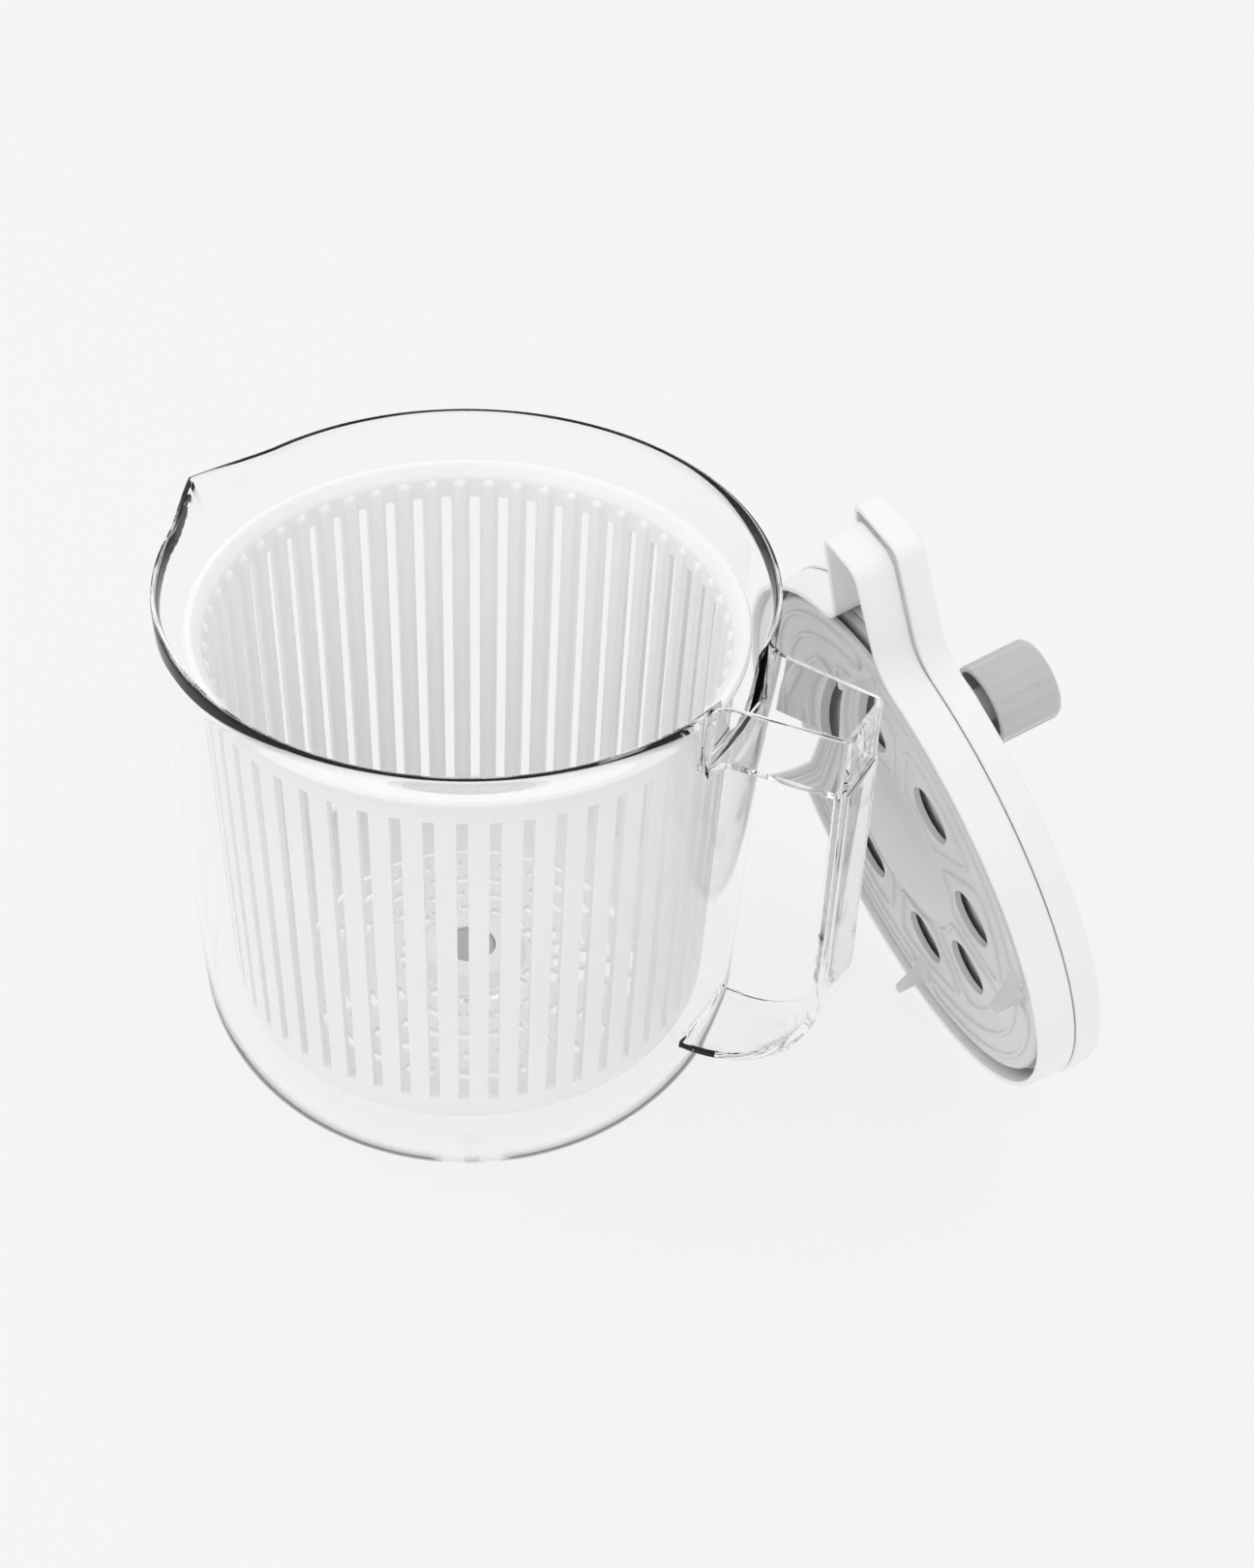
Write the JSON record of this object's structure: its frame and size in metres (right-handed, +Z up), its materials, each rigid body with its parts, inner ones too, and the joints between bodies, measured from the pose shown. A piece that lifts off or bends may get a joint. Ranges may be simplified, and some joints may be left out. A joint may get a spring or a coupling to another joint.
{
  "type": "salad spinner",
  "caption": "Hand-cranked salad spinner: clear pouring jug with a loop handle, white slotted basket, and a white crank lid leaning beside it.",
  "frame": {"origin": "centre of the jug's flat base, on the surface it stands on", "axes": "+Z up along the jug's axis, +X from the jug's axis to its handle, so the spout points along -X; the lid leans on the +X +Y side"},
  "size_m": [0.3026, 0.2279, 0.2163],
  "materials": {
    "clear_plastic": "clear, polished",
    "basket_plastic": "milky white, satin",
    "white_plastic": "white, satin gloss",
    "disc_plastic": "light grey, satin gloss",
    "grey_plastic": "light grey, gloss",
    "plate_plastic": "dark grey, matt",
    "gear_plastic": "natural nylon",
    "bearing_plastic": "self-lubricating, matt",
    "steel": "bright"
  },
  "bodies": {
    "jug": {"jug": "clear_plastic", "pivot_pin": "steel"},
    "pivot": {"pivot_bush": "bearing_plastic"},
    "basket": {"basket": "basket_plastic"},
    "lid": {"lid_cover": "white_plastic", "lid_skirt": "white_plastic", "gear_plate": "plate_plastic", "cover_screw_1": "steel", "cover_screw_2": "steel", "cover_screw_3": "steel", "cover_screw_4": "steel", "idler_pin_1": "steel", "idler_pin_2": "steel", "idler_pin_3": "steel"},
    "crank": {"crank_arm": "white_plastic", "ring_gear": "gear_plastic", "crank_screw": "steel", "crank_cap": "grey_plastic", "knob_pin": "steel"},
    "knob": {"knob": "grey_plastic", "knob_cap": "grey_plastic"},
    "idler_1": {"idler_gear_1": "gear_plastic"},
    "idler_2": {"idler_gear_2": "gear_plastic"},
    "idler_3": {"idler_gear_3": "gear_plastic"},
    "drive": {"drive_disc": "disc_plastic", "drive_pinion": "gear_plastic", "pinion_screw": "steel", "thrust_washer": "bearing_plastic"}
  },
  "joints": [
    {"name": "basket_lift", "type": "slide", "parent": "jug", "child": "pivot", "axis": [0, 0, 1], "range_m": [0, 0.2]},
    {"name": "basket_spin", "type": "hinge", "parent": "pivot", "child": "basket", "pos_m": [0, 0, 0.029], "axis": [0, 0, 1], "continuous": true},
    {"name": "lid_lift", "type": "slide", "parent": "jug", "child": "lid", "axis": [0, 0, 1], "range_m": [0, 0.2]},
    {"name": "crank_turn", "type": "hinge", "parent": "lid", "child": "crank", "pos_m": [0.1179, 0.0633, 0.0851], "axis": [0.5783, 0.7702, 0.2689], "continuous": true},
    {"name": "knob_spin", "type": "hinge", "parent": "crank", "child": "knob", "pos_m": [0.12162, 0.04208, 0.13787], "axis": [0.5783, 0.7702, 0.2689], "continuous": true},
    {"name": "idler_1_turn", "type": "hinge", "parent": "lid", "child": "idler_1", "pos_m": [0.1143, 0.05693, 0.11109], "axis": [0.5783, 0.7702, 0.2689], "continuous": true},
    {"name": "idler_2_turn", "type": "hinge", "parent": "lid", "child": "idler_2", "pos_m": [0.13852, 0.05263, 0.07132], "axis": [0.5783, 0.7702, 0.2689], "continuous": true},
    {"name": "idler_3_turn", "type": "hinge", "parent": "lid", "child": "idler_3", "pos_m": [0.10088, 0.08034, 0.07289], "axis": [0.5783, 0.7702, 0.2689], "continuous": true},
    {"name": "drive_spin", "type": "hinge", "parent": "lid", "child": "drive", "pos_m": [0.1179, 0.0633, 0.0851], "axis": [0.5783, 0.7702, 0.2689], "continuous": true}
  ],
  "couplings": [
    {"joint": "idler_1_turn", "follows": "crank_turn", "ratio": 3},
    {"joint": "idler_2_turn", "follows": "crank_turn", "ratio": 3},
    {"joint": "idler_3_turn", "follows": "crank_turn", "ratio": 3},
    {"joint": "drive_spin", "follows": "crank_turn", "ratio": -3}
  ]
}
